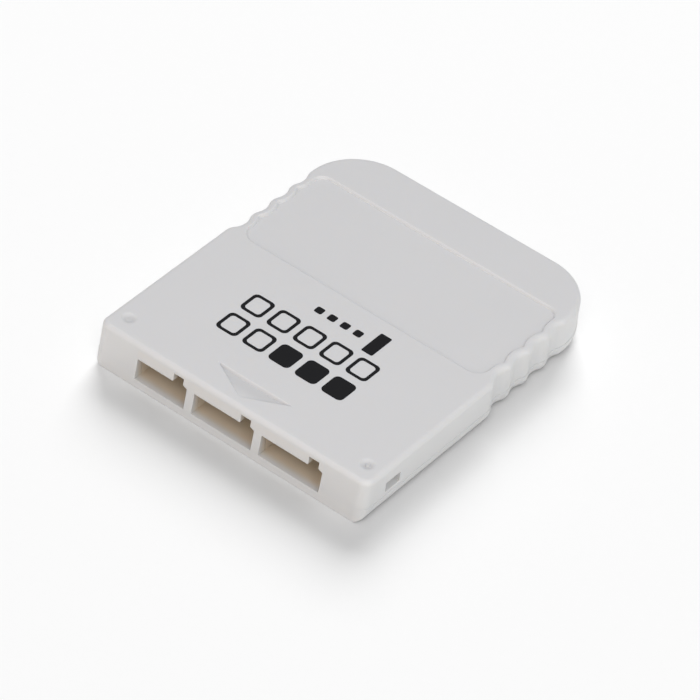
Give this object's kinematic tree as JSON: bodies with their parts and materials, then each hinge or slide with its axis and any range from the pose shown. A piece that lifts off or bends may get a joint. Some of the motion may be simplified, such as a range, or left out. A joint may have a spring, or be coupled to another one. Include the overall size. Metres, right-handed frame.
{
  "type": "console memory card",
  "caption": "Flat light grey plug-in memory card for a game console, with scalloped finger grips, a label recess, an insertion arrow and keyed contact windows in its end.",
  "frame": {"origin": "centre of the case's footprint, on the plane of its underside", "axes": "+Y from the connector end towards the rounded grip end, +Z out of the label side, +X to the right as seen from the connector end"},
  "size_m": [0.054, 0.064, 0.008],
  "materials": {
    "case_plastic": "light grey moulded ABS, satin, fine even texture",
    "board_laminate": "green solder mask over glass-epoxy laminate",
    "contact_gold": "gold-plated contact fingers",
    "chip_black": "black moulded epoxy",
    "tinned_lead": "tin-plated leads and terminals",
    "resonator_ceramic": "pale ceramic",
    "capacitor_ceramic": "brown ceramic",
    "tantalum_resin": "yellow moulded resin",
    "screw_steel": "zinc-plated steel",
    "print_ink": "black screen-printed ink"
  },
  "bodies": {
    "root": {"top_shell": "case_plastic", "bottom_shell": "case_plastic", "circuit_board": "board_laminate", "contact_pads": "contact_gold", "memory_chip": "chip_black", "memory_leads": "tinned_lead", "controller_chip": "chip_black", "controller_leads": "tinned_lead", "clock_resonator": "resonator_ceramic", "resonator_pads": "tinned_lead", "chip_resistors": "chip_black", "resistor_caps": "tinned_lead", "chip_capacitors": "capacitor_ceramic", "capacitor_caps": "tinned_lead", "tantalum_capacitor": "tantalum_resin", "tantalum_tabs": "tinned_lead", "protection_diode": "chip_black", "diode_leads": "tinned_lead", "reset_transistor": "chip_black", "transistor_leads": "tinned_lead", "case_screw": "screw_steel"}
  },
  "joints": []
}
